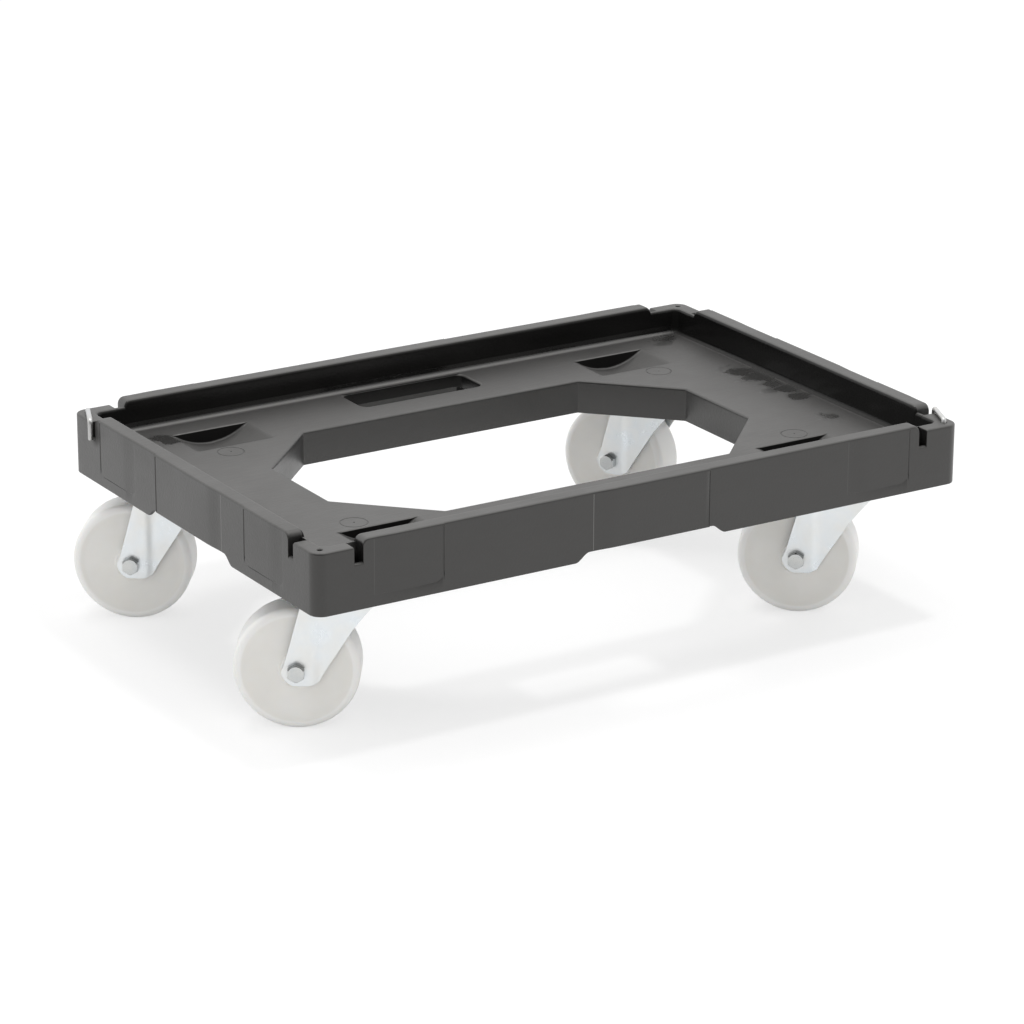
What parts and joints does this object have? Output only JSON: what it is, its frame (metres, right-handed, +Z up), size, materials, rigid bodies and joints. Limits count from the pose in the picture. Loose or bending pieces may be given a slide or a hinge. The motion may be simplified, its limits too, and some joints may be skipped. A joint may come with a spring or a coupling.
{
  "type": "crate dolly",
  "caption": "Low moulded-plastic crate dolly with a recessed tray, an eight-sided centre opening, swivel casters and wire coupling hooks.",
  "frame": {"origin": "the frame's centre in plan, on the floor that the wheels stand on", "axes": "+X along the long side, +Y along the short side towards the hand slot, +Z up"},
  "size_m": [0.631, 0.4301, 0.1768],
  "materials": {
    "frame": "moulded anthracite plastic, satin on the deck",
    "hook_wire": "zinc-plated wire",
    "hook_collar": "zinc-plated",
    "caster_steel": "bright zinc-plated pressed steel",
    "bearing": "polished steel balls in a steel cage",
    "seal": "plain dark plastic",
    "kingpin": "zinc-plated",
    "wheel": "natural white polyamide, satin, slightly translucent",
    "sleeve": "plain steel tube",
    "fastener": "zinc-plated"
  },
  "bodies": {
    "frame": {"frame": "frame", "plate_fl": "caster_steel", "seal_fl": "seal", "kingpin_fl": "kingpin", "screw_fl_1": "fastener", "screw_fl_2": "fastener", "screw_fl_3": "fastener", "screw_fl_4": "fastener", "plate_fr": "caster_steel", "seal_fr": "seal", "kingpin_fr": "kingpin", "screw_fr_1": "fastener", "screw_fr_2": "fastener", "screw_fr_3": "fastener", "screw_fr_4": "fastener", "plate_bl": "caster_steel", "seal_bl": "seal", "kingpin_bl": "kingpin", "screw_bl_1": "fastener", "screw_bl_2": "fastener", "screw_bl_3": "fastener", "screw_bl_4": "fastener", "plate_br": "caster_steel", "seal_br": "seal", "kingpin_br": "kingpin", "screw_br_1": "fastener", "screw_br_2": "fastener", "screw_br_3": "fastener", "screw_br_4": "fastener"},
    "swivel_fl": {"fork_fl": "caster_steel", "ball_cage_fl": "bearing", "axle_sleeve_fl": "sleeve", "axle_bolt_fl": "fastener", "axle_nut_fl": "fastener"},
    "wheel_fl": {"wheel_fl": "wheel"},
    "swivel_fr": {"fork_fr": "caster_steel", "ball_cage_fr": "bearing", "axle_sleeve_fr": "sleeve", "axle_bolt_fr": "fastener", "axle_nut_fr": "fastener"},
    "wheel_fr": {"wheel_fr": "wheel"},
    "swivel_bl": {"fork_bl": "caster_steel", "ball_cage_bl": "bearing", "axle_sleeve_bl": "sleeve", "axle_bolt_bl": "fastener", "axle_nut_bl": "fastener"},
    "wheel_bl": {"wheel_bl": "wheel"},
    "swivel_br": {"fork_br": "caster_steel", "ball_cage_br": "bearing", "axle_sleeve_br": "sleeve", "axle_bolt_br": "fastener", "axle_nut_br": "fastener"},
    "wheel_br": {"wheel_br": "wheel"},
    "hook_left_collar": {"hook_collar_left": "hook_collar"},
    "hook_left": {"hook_left": "hook_wire"},
    "hook_right_collar": {"hook_collar_right": "hook_collar"},
    "hook_right": {"hook_right": "hook_wire"}
  },
  "joints": [
    {"name": "swivel_fl_turn", "type": "hinge", "parent": "frame", "child": "swivel_fl", "pos_m": [-0.24, -0.1395, 0.12], "axis": [0, 0, 1], "continuous": true},
    {"name": "wheel_fl_spin", "type": "hinge", "parent": "swivel_fl", "child": "wheel_fl", "pos_m": [-0.27252, -0.11797, 0.05], "axis": [-0.5519, -0.8339, 0], "continuous": true},
    {"name": "swivel_fr_turn", "type": "hinge", "parent": "frame", "child": "swivel_fr", "pos_m": [0.24, -0.1395, 0.12], "axis": [0, 0, 1], "continuous": true},
    {"name": "wheel_fr_spin", "type": "hinge", "parent": "swivel_fr", "child": "wheel_fr", "pos_m": [0.21034, -0.11417, 0.05], "axis": [-0.6494, -0.7604, 0], "continuous": true},
    {"name": "swivel_bl_turn", "type": "hinge", "parent": "frame", "child": "swivel_bl", "pos_m": [-0.24, 0.1395, 0.12], "axis": [0, 0, 1], "continuous": true},
    {"name": "wheel_bl_spin", "type": "hinge", "parent": "swivel_bl", "child": "wheel_bl", "pos_m": [-0.27115, 0.16297, 0.05], "axis": [-0.6018, -0.7986, 0], "continuous": true},
    {"name": "swivel_br_turn", "type": "hinge", "parent": "frame", "child": "swivel_br", "pos_m": [0.24, 0.1395, 0.12], "axis": [0, 0, 1], "continuous": true},
    {"name": "wheel_br_spin", "type": "hinge", "parent": "swivel_br", "child": "wheel_br", "pos_m": [0.22169, 0.17394, 0.05], "axis": [-0.8829, -0.4695, 0], "continuous": true},
    {"name": "hook_left_lift", "type": "slide", "parent": "frame", "child": "hook_left_collar", "axis": [0, 0, 1], "range_m": [0, 0.0155]},
    {"name": "hook_left_swing", "type": "hinge", "parent": "hook_left_collar", "child": "hook_left", "pos_m": [-0.2955, 0.1955, 0.165], "axis": [0, 0, 1], "range_deg": [-224.7, 0]},
    {"name": "hook_right_lift", "type": "slide", "parent": "frame", "child": "hook_right_collar", "axis": [0, 0, 1], "range_m": [0, 0.0155]},
    {"name": "hook_right_swing", "type": "hinge", "parent": "hook_right_collar", "child": "hook_right", "pos_m": [0.2955, -0.1955, 0.165], "axis": [0, 0, 1], "range_deg": [-224.7, 0]}
  ]
}
